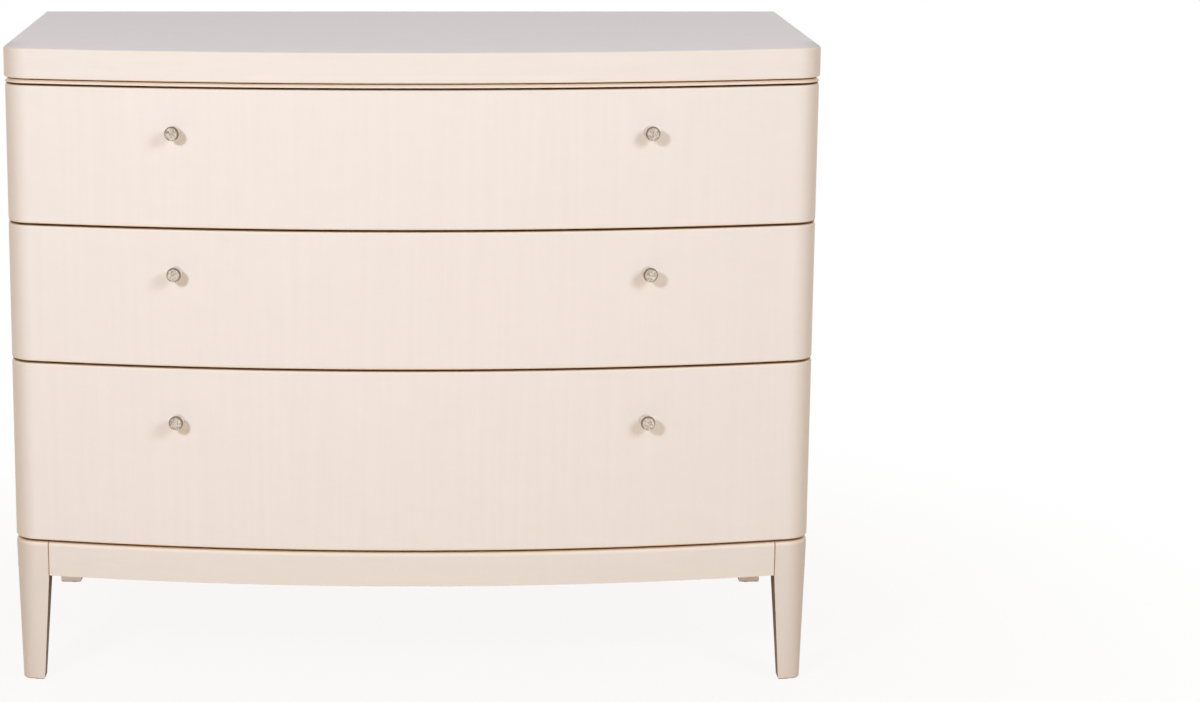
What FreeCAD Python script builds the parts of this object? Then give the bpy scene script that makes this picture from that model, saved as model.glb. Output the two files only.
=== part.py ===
import FreeCAD, Part
import os

import Sketcher

# Bow-front chest with three overlay drawers on a base of tapered legs.
# Millimetres. +X to the right, +Y to the back, +Z up, the floor at zero height.
# Pieces are drawn with the front of the bow at y = 0; each Placement then moves
# them back so that the origin lies under the middle of the whole object.

doc = FreeCAD.newDocument("bow_front_chest")

# Driving dimensions
SIZES = {
    # top panel
    "top_width": 914,
    "top_depth": 470,
    "top_thickness": 34,
    "top_overhang": 1,
    "top_edge_radius": 3,
    "top_lower_radius": 2,
    "bow_radius": 2030,
    "corner_radius": 32,
    # sub-top with the chamfered lip under the shadow line
    "reveal_height": 1.4,
    "reveal_depth": 12,
    "lip_height": 3.6,
    "lip_chamfer": 3.3,
    "core_thickness": 14,
    # case boards
    "side_thickness": 19,
    "back_thickness": 9,
    "back_lap": 8,
    "back_inset": 2,
    "bottom_thickness": 16,
    "rail_thickness": 16,
    "rail_depth": 80,
    "dado_depth": 6,
    "rail_clearance": 3,
    # drawer fronts
    "front_gap": 2.5,
    "shallow_front_height": 155.5,
    "deep_front_height": 207,
    "front_thickness": 24,
    "front_land": 56,
    "front_return": 2.5,
    "front_edge_radius": 2.5,
    # drawer boxes
    "box_rise": 18,
    "box_drop": 24,
    "box_back_clearance": 16.8,
    "box_side_thickness": 13,
    "box_back_thickness": 13,
    "box_bottom_thickness": 6,
    "box_bottom_rise": 10,
    "groove_depth": 6,
    "groove_clearance": 0.5,
    "tongue_length": 6,
    "tongue_thickness": 6,
    # telescopic slides
    "slide_space": 12.7,
    "slide_back_clearance": 18.8,
    "slide_height": 45,
    "slide_sheet": 1.2,
    "slide_gap": 0.4,
    "slide_web_space": 1.7,
    "slide_setback": 8,
    "slide_rise": 45,
    "slide_screw_inset": 40,
    # knobs
    "knob_spacing": 525,
    "shallow_knob_drop": 48,
    "deep_knob_drop": 59,
    "knob_projection": 18,
    "knob_base_diameter": 13,
    "knob_base_height": 2,
    "knob_waist_diameter": 10.5,
    "knob_waist_height": 7,
    "knob_face_diameter": 16,
    "knob_head_height": 5,
    "knob_rim_radius": 1.8,
    # base
    "base_height": 168,
    "base_edge_radius": 5,
    "apron_height": 39,
    "apron_thickness": 20,
    "joint_chamfer": 0.7,
    "leg_width": 40,
    "leg_return": 3,
    "rear_leg_depth": 40,
    "leg_lean": 5.9,
    "foot_taper": 8.5,
    "foot_corner_radius": 10,
    "foot_chamfer": 1.5,
    "block_size": 45,
    "block_height": 30,
    "block_screw_inset": 13,
    "glide_height": 1.2,
    "glide_diameter": 11,
    "glide_edge_radius": 0.6,
    "glide_inset": 9,
    "glide_pin_diameter": 3,
    "glide_pin_length": 12,
    # bumpers
    "bumper_thickness": 2,
    "bumper_diameter": 9,
    "bumper_inset": 25,
    # screws
    "screw_clearance": 0.15,
    "bore_end_clearance": 1,
    "seat_clearance": 0.1,
    "wood_screw_diameter": 4,
    "wood_screw_head_diameter": 8,
    "wood_screw_head_height": 2,
    "wood_screw_bite": 16,
    "base_screw_bite": 10,
    "slide_screw_diameter": 3.5,
    "slide_screw_head_diameter": 7,
    "slide_screw_head_height": 1.2,
    "slide_screw_bite": 10,
    "knob_screw_diameter": 4,
    "knob_screw_head_diameter": 8.5,
    "knob_screw_head_height": 2.6,
    "knob_screw_bite": 8,
    "top_screw_spacing": 300,
    "top_screw_inset": 60,
    "back_screw_inset": 25,
    "bottom_screw_spacing": 220,
}

dims = doc.addObject("Spreadsheet::Sheet", "dims")
for line, (alias, size) in enumerate(SIZES.items(), start=1):
    dims.set(f"A{line}", alias)
    dims.set(f"B{line}", str(size))
    dims.setAlias(f"B{line}", alias)
doc.recompute()

parts = []
X_AXIS = FreeCAD.Vector(1, 0, 0)
Y_AXIS = FreeCAD.Vector(0, 1, 0)
Z_AXIS = FreeCAD.Vector(0, 0, 1)
RIGHT = 1
LEFT = -1
SIDE_NAMES = {LEFT: "left", RIGHT: "right"}
TOLERANCE = 1e-3
HEAD_ROUNDING = 0.5
BACK_SCREW_ROWS = 4


def value(expression):
    return float(dims.evalExpression(expression))


def bow_y(radius, x):
    """Depth, at a distance x from the middle, of an arc about the bow's own axis."""
    return f"(dims.bow_radius - sqrt(({radius})^2 - ({x})^2))"


def span(side, inner, outer):
    """Low and high x of a piece that lies between two distances from the middle, on one side."""
    if side == RIGHT:
        return inner, outer
    return f"-({outer})", f"-({inner})"


def on_side(side, x):
    return x if side == RIGHT else f"-({x})"


# Lines that several pieces share, written as expressions of the sheet
half_top = "(dims.top_width / 2)"
half_case = "(dims.top_width / 2 - dims.top_overhang)"
case_radius = "(dims.bow_radius - dims.top_overhang)"
case_corner = "(dims.corner_radius - dims.top_overhang)"
corner_depth = bow_y("dims.bow_radius - dims.corner_radius", "dims.top_width / 2 - dims.corner_radius")
front_end = f"({corner_depth} + dims.front_return)"
side_front = f"({front_end} + dims.bumper_thickness)"
side_inner = f"({half_case} - dims.side_thickness)"
case_back = "(dims.top_depth - dims.back_inset)"
back_front = f"({case_back} - dims.back_thickness)"
dado_end = f"({side_inner} + dims.dado_depth)"
inner_radius = f"({case_radius} - dims.front_thickness)"
hollow_half = f"({half_case} - dims.front_land)"

# Heights of the base, the drawers and the lip
base_top = "dims.base_height"
apron_bottom = "(dims.base_height - dims.apron_height)"
bottom_front_z = f"({base_top} + dims.front_gap)"
middle_front_z = f"({bottom_front_z} + dims.deep_front_height + dims.front_gap)"
top_front_z = f"({middle_front_z} + dims.shallow_front_height + dims.front_gap)"
lip_z = f"({top_front_z} + dims.shallow_front_height + dims.front_gap)"
field_z = f"({lip_z} + dims.lip_height)"
top_z = f"({field_z} + dims.reveal_height)"
core_z = f"({lip_z} - dims.core_thickness)"
rail_levels = {
    "lower_drawer_rail": f"({middle_front_z} - dims.front_gap / 2 - dims.rail_thickness / 2)",
    "upper_drawer_rail": f"({top_front_z} - dims.front_gap / 2 - dims.rail_thickness / 2)",
}
DRAWERS = {
    "bottom_drawer": (bottom_front_z, "dims.deep_front_height", "dims.deep_knob_drop"),
    "middle_drawer": (middle_front_z, "dims.shallow_front_height", "dims.shallow_knob_drop"),
    "top_drawer": (top_front_z, "dims.shallow_front_height", "dims.shallow_knob_drop"),
}

# Base lines
leg_inner = f"({half_case} - dims.leg_width)"
leg_back = f"({corner_depth} + dims.leg_return)"
rear_leg_front = f"({case_back} - dims.rear_leg_depth)"
apron_inner = f"({half_case} - dims.apron_thickness)"
foot_inner = f"({leg_inner} + dims.foot_taper)"
front_foot_back = f"({leg_back} - dims.foot_taper)"
rear_foot_front = f"({rear_leg_front} + dims.foot_taper)"

# Drawer box lines
box_half = f"({side_inner} - dims.slide_space)"
box_inner = f"({box_half} - dims.box_side_thickness)"
box_end = f"({back_front} - dims.box_back_clearance)"
tongue_middle = f"({box_half} - dims.box_side_thickness / 2)"
tongue_span = (
    f"({tongue_middle} - dims.tongue_thickness / 2)",
    f"({tongue_middle} + dims.tongue_thickness / 2)",
)

# Slide lines, across the space between the case side and the drawer side
slide_start = f"({side_front} + dims.slide_setback)"
slide_end = f"({back_front} - dims.slide_back_clearance)"
slide_screw_ys = (
    f"({slide_start} + dims.slide_screw_inset)",
    f"({slide_end} - dims.slide_screw_inset)",
)
case_web = f"({side_inner} - dims.slide_sheet)"
middle_outer = f"({case_web} - dims.slide_web_space)"
middle_web = f"({middle_outer} - dims.slide_sheet)"
drawer_web = f"({box_half} + dims.slide_sheet)"
flange_tip = f"({drawer_web} + dims.slide_gap)"
drawer_tip = f"({middle_web} - dims.slide_gap)"
case_slot_half = "(dims.slide_height / 2 - dims.slide_sheet)"
middle_half = f"({case_slot_half} - dims.slide_gap)"
middle_slot_half = f"({middle_half} - dims.slide_sheet)"
drawer_half = f"({middle_slot_half} - dims.slide_gap)"
drawer_slot_half = f"({drawer_half} - dims.slide_sheet)"

# Knob axis: square to the bow where the knob stands
knob_sine = f"(dims.knob_spacing / 2 / {case_radius})"
knob_cosine = f"sqrt(1 - {knob_sine}^2)"
knob_foremost = (
    f"(dims.bow_radius - ({case_radius} + dims.knob_projection - dims.knob_rim_radius) * {knob_cosine}"
    f" - (dims.knob_face_diameter / 2 - dims.knob_rim_radius) * {knob_sine} - dims.knob_rim_radius)"
)
shift_y = f"-(dims.top_depth + min(0; {knob_foremost})) / 2"

# Seats of the screws that hold the top, the back and the base
top_screw_xs = ("-dims.top_screw_spacing", "0", "dims.top_screw_spacing")
top_screw_ys = (f"({side_front} + dims.top_screw_inset)", f"({back_front} - dims.top_screw_inset)")
top_screw_seats = [(x, y, core_z) for x in top_screw_xs for y in top_screw_ys]
top_screw_length = f"({top_z} - {core_z} + dims.wood_screw_bite)"
back_screw_x = f"({side_inner} + dims.back_lap / 2)"
lowest_back_screw = f"({base_top} + dims.bottom_thickness + dims.back_screw_inset)"
highest_back_screw = f"({core_z} - dims.back_screw_inset)"
back_screw_step = f"(({highest_back_screw} - {lowest_back_screw}) / {BACK_SCREW_ROWS - 1})"
back_screw_zs = [f"({lowest_back_screw} + {row} * {back_screw_step})" for row in range(BACK_SCREW_ROWS)]
bottom_edge_z = f"({base_top} + dims.bottom_thickness / 2)"
bottom_edge_seats = [
    (f"{step} * dims.bottom_screw_spacing", case_back, bottom_edge_z) for step in (-1, 0, 1)
]
side_edge_seats = [
    (on_side(side, back_screw_x), case_back, z) for side in (LEFT, RIGHT) for z in back_screw_zs
]
block_bottom = f"({base_top} - dims.block_height)"
block_corners = [
    (side, corner_y, inward)
    for side in (LEFT, RIGHT)
    for corner_y, inward in ((leg_back, "+"), (rear_leg_front, "-"))
]
block_screw_seats = [
    (on_side(side, f"({apron_inner} - dims.block_screw_inset)"),
     f"({corner_y} {inward} dims.block_screw_inset)", block_bottom)
    for side, corner_y, inward in block_corners
]


def slide_level(front_z):
    return f"({front_z} + dims.box_rise + dims.slide_rise)"


def new_body(label):
    body = doc.addObject("PartDesign::Body", label)
    body.Label = label
    body.AllowCompound = True
    body.setExpression("Placement.Base.y", shift_y)
    parts.append(body)
    return body


def origin_plane(body, role):
    for feature in body.Origin.OriginFeatures:
        if feature.Role == role:
            return feature
    raise ValueError(f"{body.Label} has no {role}")


def outline(body, points, arcs=None, role="XY_Plane", level=None):
    """Closed sketch through points given as pairs of expressions.

    arcs maps the number of an edge to its radius; such an edge bulges to the front.
    """
    arcs = arcs or {}
    sketch = body.newObject("Sketcher::SketchObject", "Outline")
    sketch.AttachmentSupport = [(origin_plane(body, role), "")]
    sketch.MapMode = "FlatFace"
    if level:
        sketch.setExpression("AttachmentOffset.Base.z", level)
    corners = [FreeCAD.Vector(value(x), value(y), 0) for x, y in points]
    ends = []
    for index, start in enumerate(corners):
        finish = corners[(index + 1) % len(corners)]
        if index in arcs:
            first, last = sorted((start, finish), key=lambda corner: corner.x)
            half_chord = (last - first) / 2
            radius = value(arcs[index])
            backwards = Z_AXIS.cross(half_chord).normalize()
            centre = first + half_chord + backwards * (radius**2 - half_chord.Length**2) ** 0.5
            circle = Part.Circle(centre, Z_AXIS, radius)
            sketch.addGeometry(Part.ArcOfCircle(circle, circle.parameter(first), circle.parameter(last)))
            ends.append((1, 2) if first is start else (2, 1))
        else:
            sketch.addGeometry(Part.LineSegment(start, finish))
            ends.append((1, 2))
    for index in range(len(points)):
        following = (index + 1) % len(points)
        sketch.addConstraint(
            Sketcher.Constraint("Coincident", index, ends[index][1], following, ends[following][0])
        )
    for index, point in enumerate(points):
        for kind, expression in zip(("DistanceX", "DistanceY"), point):
            drive(sketch, (kind, index, ends[index][0]), expression)
    for index, radius in arcs.items():
        drive(sketch, ("Radius", index), radius)
    return sketch


def drive(sketch, target, expression):
    number = sketch.addConstraint(Sketcher.Constraint(*target, value(expression)))
    sketch.setExpression(f"Constraints[{number}]", expression)


def pad(body, sketch, length):
    feature = body.newObject("PartDesign::Pad", "Pad")
    feature.Profile = sketch
    feature.setExpression("Length", length)
    return feature


def loft(body, low, high):
    feature = body.newObject("PartDesign::AdditiveLoft", "Loft")
    feature.Profile = low
    feature.Sections = [high]
    feature.Ruled = True
    return feature


def pocket(body, sketch, length, upwards=False, symmetric=False):
    """Cut a sketch out of the body and stop if nothing was removed."""
    doc.recompute()
    before = body.Shape.Volume
    feature = body.newObject("PartDesign::Pocket", "Pocket")
    feature.Profile = sketch
    feature.Reversed = upwards
    if symmetric:
        feature.SideType = "Symmetric"
    feature.setExpression("Length", length)
    doc.recompute()
    if not body.Shape.Volume < before:
        raise ValueError(f"{body.Label}: a pocket removes nothing")
    return feature


def box_feature(body, kind, low, high):
    feature = body.newObject(f"PartDesign::{kind}", kind)
    for size, axis, start, finish in zip(("Length", "Width", "Height"), "xyz", low, high):
        feature.setExpression(size, f"{finish} - ({start})")
        feature.setExpression(f"Placement.Base.{axis}", start)
    return feature


def add_box(body, low, high):
    return box_feature(body, "AdditiveBox", low, high)


def cut_box(body, low, high):
    return box_feature(body, "SubtractiveBox", low, high)


def bore_radius(name):
    return f"dims.{name}_diameter / 2 + dims.screw_clearance"


def bore_depth(reach):
    return f"{reach} + dims.bore_end_clearance"


def cut_bore(body, name, start, direction, length):
    """Bore for the named screw or pin, wider than its shank by the clearance."""
    feature = body.newObject("PartDesign::SubtractiveCylinder", "Bore")
    feature.Placement = FreeCAD.Placement(FreeCAD.Vector(), FreeCAD.Rotation(Z_AXIS, direction))
    feature.setExpression("Radius", bore_radius(name))
    feature.setExpression("Height", length)
    for axis, expression in zip("xyz", start):
        feature.setExpression(f"Placement.Base.{axis}", expression)
    return feature


def dress(body, kind, size, amount, wanted):
    """Fillet or chamfer every edge of the body that the test picks."""
    doc.recompute()
    base = body.Tip
    names = [f"Edge{number}" for number, edge in enumerate(base.Shape.Edges, start=1) if wanted(edge)]
    if not names:
        raise ValueError(f"{body.Label}: no edge to dress")
    feature = body.newObject(f"PartDesign::{kind}", kind)
    feature.Base = (base, names)
    feature.setExpression(size, amount)
    return feature


def round_edges(body, radius, wanted):
    return dress(body, "Fillet", "Radius", radius, wanted)


def near(first, second):
    return abs(first - second) < TOLERANCE


def is_level(edge, height):
    return near(edge.BoundBox.ZMin, height) and near(edge.BoundBox.ZMax, height)


def is_upright_at(edge, x, y):
    box = edge.BoundBox
    upright = near(box.XMin, box.XMax) and near(box.YMin, box.YMax) and not near(box.ZLength, 0)
    return upright and near(abs(box.XMin), abs(x)) and near(box.YMin, y)


def add_group(label, solids):
    """One node of separate solids that are alike."""
    group = doc.addObject("Part::Feature", label)
    group.Label = label
    group.Shape = Part.Compound(solids)
    group.Placement = FreeCAD.Placement(FreeCAD.Vector(0, value(shift_y), 0), FreeCAD.Rotation())
    parts.append(group)


def point(expressions):
    return FreeCAD.Vector(*[value(expression) for expression in expressions])


def screw(name, seat, direction, length):
    """Pan-head screw; the seat is the middle of the underside of its head."""
    shank = Part.makeCylinder(value(f"dims.{name}_diameter / 2"), length, seat, direction)
    head_radius = value(f"dims.{name}_head_diameter / 2")
    head_height = value(f"dims.{name}_head_height")
    head = Part.makeCylinder(head_radius, head_height, seat, direction * -1)
    rim = [edge for edge in head.Edges if near(edge.CenterOfMass.distanceToPoint(seat), head_height)]
    head = head.makeFillet(head_height * HEAD_ROUNDING, rim)
    return shank.fuse(head).removeSplitter()


# Top panel
def top_outline(body, half_width, radius, back, level):
    edge_y = bow_y(radius, half_width)
    corners = [
        (f"-{half_width}", edge_y),
        (half_width, edge_y),
        (half_width, back),
        (f"-{half_width}", back),
    ]
    return outline(body, corners, {0: radius}, level=level)


def make_top_panel():
    body = new_body("top_panel")
    pad(body, top_outline(body, half_top, "dims.bow_radius", "dims.top_depth", top_z), "dims.top_thickness")
    corner_x = value(half_top)
    corner_y = value(bow_y("dims.bow_radius", half_top))
    round_edges(body, "dims.corner_radius", lambda edge: is_upright_at(edge, corner_x, corner_y))
    upper = value(f"{top_z} + dims.top_thickness")
    round_edges(body, "dims.top_edge_radius", lambda edge: is_level(edge, upper))
    lower = value(top_z)
    round_edges(body, "dims.top_lower_radius", lambda edge: is_level(edge, lower))
    for x, y, _ in top_screw_seats:
        cut_bore(body, "wood_screw", (x, y, top_z), Z_AXIS, bore_depth("dims.wood_screw_bite"))


# Boards whose front edge follows the inside of the drawer fronts
def bow_board(body, bow_half, radius, step_y, half_width, back, level):
    bow_end = bow_y(radius, bow_half)
    right = [(bow_half, bow_end), (bow_half, step_y), (half_width, step_y), (half_width, back)]
    left = [(f"-({x})", y) for x, y in reversed(right)]
    return outline(body, left[-1:] + right + left[:-1], {0: radius}, level=level)


def case_board(body, half_width, back, level):
    bow_half = f"({hollow_half} - dims.rail_clearance)"
    radius = f"({inner_radius} - dims.rail_clearance)"
    return bow_board(body, bow_half, radius, side_front, half_width, back, level)


def make_sub_top():
    body = new_body("sub_top")
    pad(body, case_board(body, side_inner, back_front, core_z), "dims.core_thickness")
    pad(body, top_outline(body, half_case, case_radius, case_back, lip_z), "dims.lip_height")
    corner_x = value(half_case)
    corner_y = value(bow_y(case_radius, half_case))
    round_edges(body, case_corner, lambda edge: is_upright_at(edge, corner_x, corner_y))
    upper = value(field_z)
    back = value(case_back)
    dress(
        body, "Chamfer", "Size", "dims.lip_chamfer",
        lambda edge: is_level(edge, upper) and not near(edge.BoundBox.YMin, back),
    )
    field_half = f"({half_case} - dims.reveal_depth)"
    field_radius = f"({case_radius} - dims.reveal_depth)"
    pad(body, top_outline(body, field_half, field_radius, case_back, field_z), "dims.reveal_height")
    field_x = value(field_half)
    field_y = value(bow_y(field_radius, field_half))
    round_edges(
        body, f"{case_corner} - dims.reveal_depth",
        lambda edge: is_upright_at(edge, field_x, field_y),
    )
    for x, y, z in top_screw_seats:
        cut_bore(body, "wood_screw", (x, y, z), Z_AXIS, f"{top_z} - {core_z}")


def make_bottom_panel():
    body = new_body("bottom_panel")
    pad(body, case_board(body, dado_end, back_front, base_top), "dims.bottom_thickness")
    for x, y, _ in block_screw_seats:
        cut_bore(body, "wood_screw", (x, y, base_top), Z_AXIS, bore_depth("dims.base_screw_bite"))
    for x, _, z in bottom_edge_seats:
        cut_bore(body, "wood_screw", (x, back_front, z), -Y_AXIS, bore_depth("dims.wood_screw_bite"))


def make_rail(label):
    body = new_body(label)
    back = f"({side_front} + dims.rail_depth)"
    pad(body, case_board(body, dado_end, back, rail_levels[label]), "dims.rail_thickness")


# Side panels, with dados for the bottom and the rails and a rabbet for the back
def make_side_panel(side):
    body = new_body(f"{SIDE_NAMES[side]}_side_panel")
    low_x, high_x = span(side, side_inner, half_case)
    add_box(body, (low_x, side_front, base_top), (high_x, case_back, lip_z))
    dado_low, dado_high = span(side, side_inner, dado_end)
    cut_box(body, (dado_low, side_front, base_top),
            (dado_high, back_front, f"{base_top} + dims.bottom_thickness"))
    for level in rail_levels.values():
        cut_box(body, (dado_low, side_front, level),
                (dado_high, f"{side_front} + dims.rail_depth", f"{level} + dims.rail_thickness"))
    lap_low, lap_high = span(side, side_inner, f"{side_inner} + dims.back_lap")
    cut_box(body, (lap_low, back_front, base_top), (lap_high, case_back, lip_z))
    for z in back_screw_zs:
        cut_bore(body, "wood_screw", (on_side(side, back_screw_x), back_front, z), -Y_AXIS,
                 bore_depth("dims.wood_screw_bite"))
    for front_z, _, _ in DRAWERS.values():
        for y in slide_screw_ys:
            cut_bore(body, "slide_screw",
                     (on_side(side, side_inner), y, slide_level(front_z)), X_AXIS * side,
                     bore_depth("dims.slide_screw_bite"))


def make_back_panel():
    body = new_body("back_panel")
    reach = f"({side_inner} + dims.back_lap)"
    add_box(body, (f"-{reach}", back_front, base_top), (reach, case_back, lip_z))
    for x, y, z in side_edge_seats + bottom_edge_seats:
        cut_bore(body, "wood_screw", (x, y, z), -Y_AXIS, "dims.back_thickness")


# Base: legs, aprons, corner blocks and glides
def make_leg(side, front):
    end = "front" if front else "rear"
    body = new_body(f"{end}_{SIDE_NAMES[side]}_leg")
    foot_corner = "dims.foot_corner_radius"
    foot_section = leg_section(body, side, front, "dims.leg_lean", foot_corner, "dims.glide_height")
    top_section = leg_section(body, side, front, "0", case_corner, base_top)
    loft(body, foot_section, top_section)
    taper_inside(body, side, front)
    top = value(base_top)
    joint_x = value(leg_inner)

    def is_outer_top(edge):
        box = edge.BoundBox
        at_joint = near(box.XMin, box.XMax) and near(abs(box.XMin), joint_x)
        across = near(box.YMin, box.YMax)
        return is_level(edge, top) and not at_joint and not across

    round_edges(body, "dims.base_edge_radius", is_outer_top)
    foot = value("dims.glide_height")
    dress(body, "Chamfer", "Size", "dims.foot_chamfer", lambda edge: is_level(edge, foot))
    cut_bore(body, "glide_pin", foot_centre(side, front), Z_AXIS, bore_depth("dims.glide_pin_length"))


def leg_section(body, side, front, lean, corner, level):
    """Leg at one level, with its show faces set in by the lean and a front leg's corner rounded."""
    outer = f"({half_case} - {lean})"
    if front:
        radius = f"({case_radius} - {lean})"
        bend_x = f"({outer} - {corner}) * {radius} / ({radius} - {corner})"
        bend_end = bow_y(f"{radius} - {corner}", f"{outer} - {corner}")
        points = [
            (leg_inner, bow_y(radius, leg_inner)),
            (bend_x, bow_y(radius, bend_x)),
            (outer, bend_end),
            (outer, leg_back),
            (leg_inner, leg_back),
        ]
        arcs = {0: radius, 1: corner}
    else:
        points = [
            (leg_inner, rear_leg_front),
            (outer, rear_leg_front),
            (outer, case_back),
            (leg_inner, case_back),
        ]
        arcs = {}
    return outline(body, [(on_side(side, x), y) for x, y in points], arcs, level=level)


def taper_inside(body, side, front):
    """Cut the two hidden faces back below the apron, towards the foot."""
    overrun = "dims.leg_width"
    inside_x = [
        (leg_inner, apron_bottom),
        (foot_inner, "dims.glide_height"),
        (f"{leg_inner} - {overrun}", "dims.glide_height"),
        (f"{leg_inner} - {overrun}", apron_bottom),
    ]
    cutter = [(on_side(side, x), z) for x, z in inside_x]
    pocket(body, outline(body, cutter, role="XZ_Plane"), "2 * dims.top_depth", symmetric=True)
    straight, tapered = (leg_back, front_foot_back) if front else (rear_leg_front, rear_foot_front)
    beyond = f"{straight} + {overrun}" if front else f"{straight} - {overrun}"
    inside_y = [
        (straight, apron_bottom),
        (tapered, "dims.glide_height"),
        (beyond, "dims.glide_height"),
        (beyond, apron_bottom),
    ]
    pocket(body, outline(body, inside_y, role="YZ_Plane"), "2 * dims.top_width", symmetric=True)


def foot_centre(side, front):
    x = on_side(side, f"{foot_inner} + dims.glide_inset")
    y = f"{front_foot_back} - dims.glide_inset" if front else f"{rear_foot_front} + dims.glide_inset"
    return x, y, "dims.glide_height"


def make_front_apron():
    body = new_body("front_apron")
    back_radius = f"({case_radius} - dims.apron_thickness)"
    front_y = bow_y(case_radius, leg_inner)
    back_y = bow_y(back_radius, leg_inner)
    corners = [
        (f"-{leg_inner}", front_y),
        (leg_inner, front_y),
        (leg_inner, back_y),
        (f"-{leg_inner}", back_y),
    ]
    sketch = outline(body, corners, {0: case_radius, 2: back_radius}, level=apron_bottom)
    pad(body, sketch, "dims.apron_height")
    end_x = value(leg_inner)
    end_y = value(front_y)
    dress(body, "Chamfer", "Size", "dims.joint_chamfer", lambda edge: is_upright_at(edge, end_x, end_y))
    top = value(base_top)
    radius = value(case_radius)

    def is_front_top(edge):
        return is_level(edge, top) and hasattr(edge.Curve, "Radius") and near(edge.Curve.Radius, radius)

    round_edges(body, "dims.base_edge_radius", is_front_top)


def make_side_apron(side):
    body = new_body(f"{SIDE_NAMES[side]}_apron")
    low_x, high_x = span(side, apron_inner, half_case)
    add_box(body, (low_x, leg_back, apron_bottom), (high_x, rear_leg_front, base_top))
    top = value(base_top)
    outer_x = value(half_case)
    round_edges(
        body, "dims.base_edge_radius",
        lambda edge: is_level(edge, top) and near(abs(edge.CenterOfMass.x), outer_x),
    )


def make_rear_apron():
    body = new_body("rear_apron")
    add_box(body, (f"-{leg_inner}", f"{case_back} - dims.apron_thickness", apron_bottom),
            (leg_inner, case_back, base_top))


def make_corner_blocks():
    body = new_body("corner_blocks")
    for side, corner_y, inward in block_corners:
        triangle = [
            (on_side(side, apron_inner), corner_y),
            (on_side(side, f"({apron_inner} - dims.block_size)"), corner_y),
            (on_side(side, apron_inner), f"({corner_y} {inward} dims.block_size)"),
        ]
        pad(body, outline(body, triangle, level=block_bottom), "dims.block_height")
    for seat in block_screw_seats:
        cut_bore(body, "wood_screw", seat, Z_AXIS, "dims.block_height")


def make_foot_glides():
    height = value("dims.glide_height")
    radius = value("dims.glide_diameter / 2")
    rounding = value("dims.glide_edge_radius")
    pin_radius = value("dims.glide_pin_diameter / 2")
    pin_length = value("dims.glide_pin_length")
    solids = []
    for side in (LEFT, RIGHT):
        for front in (True, False):
            centre = point(foot_centre(side, front))
            disc = Part.makeCylinder(radius, height, centre - Z_AXIS * height)
            lower_rim = [edge for edge in disc.Edges if is_level(edge, 0)]
            disc = disc.makeFillet(rounding, lower_rim)
            pin = Part.makeCylinder(pin_radius, pin_length, centre)
            solids.append(disc.fuse(pin).removeSplitter())
    add_group("foot_glides", solids)


# Slides: three nested channels on each side of a drawer
def make_channels(label, level, outer, slot):
    """A pair of channels; outer and slot are (inner x, outer x, half height)."""
    body = new_body(label)
    for side in (LEFT, RIGHT):
        for build, (near_x, far_x, half) in ((add_box, outer), (cut_box, slot)):
            low_x, high_x = span(side, near_x, far_x)
            build(body, (low_x, slide_start, f"{level} - {half}"), (high_x, slide_end, f"{level} + {half}"))
    return body


def make_slides(drawer, level):
    case_members = make_channels(
        f"{drawer}_slide_case_members", level,
        (flange_tip, side_inner, "dims.slide_height / 2"),
        (flange_tip, case_web, case_slot_half),
    )
    make_channels(
        f"{drawer}_slide_middle_members", level,
        (flange_tip, middle_outer, middle_half),
        (flange_tip, middle_web, middle_slot_half),
    )
    drawer_members = make_channels(
        f"{drawer}_slide_drawer_members", level,
        (box_half, drawer_tip, drawer_half),
        (drawer_web, drawer_tip, drawer_slot_half),
    )
    for side in (LEFT, RIGHT):
        for y in slide_screw_ys:
            cut_bore(case_members, "slide_screw", (on_side(side, case_web), y, level),
                     X_AXIS * side, "dims.slide_sheet")
            cut_bore(drawer_members, "slide_screw", (on_side(side, box_half), y, level),
                     X_AXIS * side, "dims.slide_sheet")


# Drawers
def make_front(drawer, front_z, height, knob_z):
    body = new_body(f"{drawer}_front")
    pad(body, top_outline(body, half_case, case_radius, front_end, front_z), height)
    corner_x = value(half_case)
    corner_y = value(bow_y(case_radius, half_case))
    round_edges(body, case_corner, lambda edge: is_upright_at(edge, corner_x, corner_y))
    back_y = value(front_end)
    levels = (value(front_z), value(f"{front_z} + {height}"))
    round_edges(
        body, "dims.front_edge_radius",
        lambda edge: any(is_level(edge, z) for z in levels) and not near(edge.BoundBox.YMin, back_y),
    )
    pocket(body, top_outline(body, hollow_half, inner_radius, front_end, front_z), height, upwards=True)
    box_z = f"({front_z} + dims.box_rise)"
    box_height = f"({height} - dims.box_rise - dims.box_drop)"
    groove_half = f"({hollow_half} - dims.groove_clearance)"
    groove_radius = f"({inner_radius} + dims.groove_depth + dims.groove_clearance)"
    groove = top_outline(body, groove_half, groove_radius, front_end, f"({box_z} + dims.box_bottom_rise)")
    pocket(body, groove, "dims.box_bottom_thickness", upwards=True)
    for side in (LEFT, RIGHT):
        low_x, high_x = span(side, *tongue_span)
        cut_box(body, (low_x, f"{front_end} - dims.tongue_length", box_z),
                (high_x, front_end, f"{box_z} + {box_height}"))
        direction = knob_direction(side)
        cut_bore(body, "knob_screw", knob_point(side, inner_radius, knob_z), direction,
                 bore_depth("dims.front_thickness"))


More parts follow.
